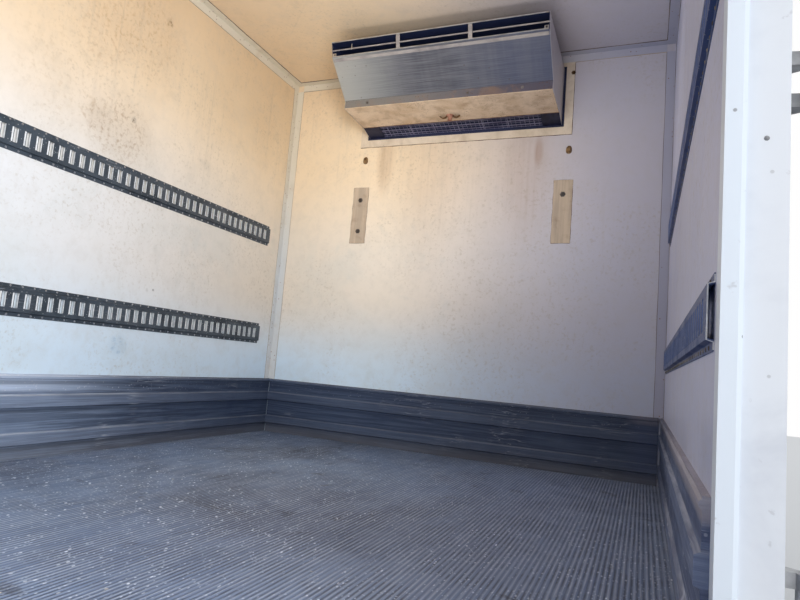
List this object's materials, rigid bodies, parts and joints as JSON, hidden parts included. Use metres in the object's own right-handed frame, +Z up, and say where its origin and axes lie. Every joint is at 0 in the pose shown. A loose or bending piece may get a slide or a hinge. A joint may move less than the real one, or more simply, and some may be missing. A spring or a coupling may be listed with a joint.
{
  "type": "insulated refrigerated truck body",
  "caption": "Insulated box body for a refrigerated truck, with rear doors, side door, slotted cargo tracks and a front-wall cooling unit.",
  "frame": {"origin": "centre of the four mounting holes, on the underside of the long sills", "axes": "+X to the right-hand side of the truck, +Y forward, +Z up"},
  "size_m": [3.0413, 5.45, 2.7785],
  "materials": {
    "panel": "satin",
    "liner_trim": "satin",
    "deck": "worn",
    "scuff": "worn",
    "track": "worn",
    "underframe": "satin",
    "body_rail": "brushed",
    "frame_paint": "gloss",
    "hardware": "brushed",
    "seal": "matt",
    "unit_sheet": "brushed",
    "pan": "worn",
    "coil": "matt",
    "wire": "matt",
    "blower": "matt",
    "unit_shell": "gloss",
    "unit_black": "matt",
    "engine": "matt",
    "fan": "satin",
    "lens_white": "gloss",
    "lens_amber": "gloss",
    "lens_red": "gloss"
  },
  "bodies": {
    "box": {"sills": "underframe", "cross_members": "underframe", "floor_panel": "panel", "floor_deck": "deck", "wall_left": "panel", "wall_right": "panel", "wall_front": "panel", "roof": "panel", "unit_bulkhead": "panel", "front_corner_posts": "body_rail", "roof_rails": "body_rail", "base_rails": "body_rail", "rear_frame": "frame_paint", "side_door_frame": "frame_paint", "hinge_butts": "hardware", "lock_keepers": "hardware", "scuff_liners": "scuff", "liner_trims": "liner_trim", "tracks_left": "track", "tracks_right": "track", "opening_frame": "liner_trim", "cover_plates": "liner_trim", "evaporator_housing": "unit_sheet", "evaporator_outlet": "liner_trim", "evaporator_pan": "pan", "evaporator_coil": "coil", "evaporator_grille": "wire", "unit_frame": "underframe", "condenser_housing": "unit_shell", "condenser_grille": "unit_black", "condenser_coil": "coil", "unit_engine": "engine", "ceiling_lamps": "lens_white", "lamps_amber": "lens_amber", "lamps_red": "lens_red", "steps": "underframe"},
    "rear_door_left": {"door_left_panel": "panel", "door_left_seal": "seal", "door_left_straps": "hardware", "door_left_lock": "hardware"},
    "rear_door_right": {"door_right_panel": "panel", "door_right_seal": "seal", "door_right_straps": "hardware", "door_right_lock": "hardware"},
    "side_door": {"side_door_panel": "panel", "side_door_seal": "seal", "side_door_straps": "hardware", "side_door_lock": "hardware"},
    "blower": {"evaporator_blower": "blower"},
    "fan": {"condenser_fan": "fan"}
  },
  "joints": [
    {"name": "rear_door_left_hinge", "type": "hinge", "parent": "box", "child": "rear_door_left", "pos_m": [-1.3255, -2.47, 1.4], "axis": [0, 0, -1], "range_deg": [0, 265]},
    {"name": "rear_door_right_hinge", "type": "hinge", "parent": "box", "child": "rear_door_right", "pos_m": [1.3255, -2.47, 1.4], "axis": [0, 0, 1], "range_deg": [0, 265]},
    {"name": "side_door_hinge", "type": "hinge", "parent": "box", "child": "side_door", "pos_m": [1.3255, -0.026, 1.3], "axis": [0, 0, -1], "range_deg": [-15, 165]},
    {"name": "blower_spin", "type": "hinge", "parent": "box", "child": "blower", "pos_m": [0, 1.908, 2.51], "axis": [1, 0, 0], "continuous": true},
    {"name": "fan_spin", "type": "hinge", "parent": "box", "child": "fan", "pos_m": [0, 2.64, 2.255], "axis": [0, 1, 0], "continuous": true}
  ]
}
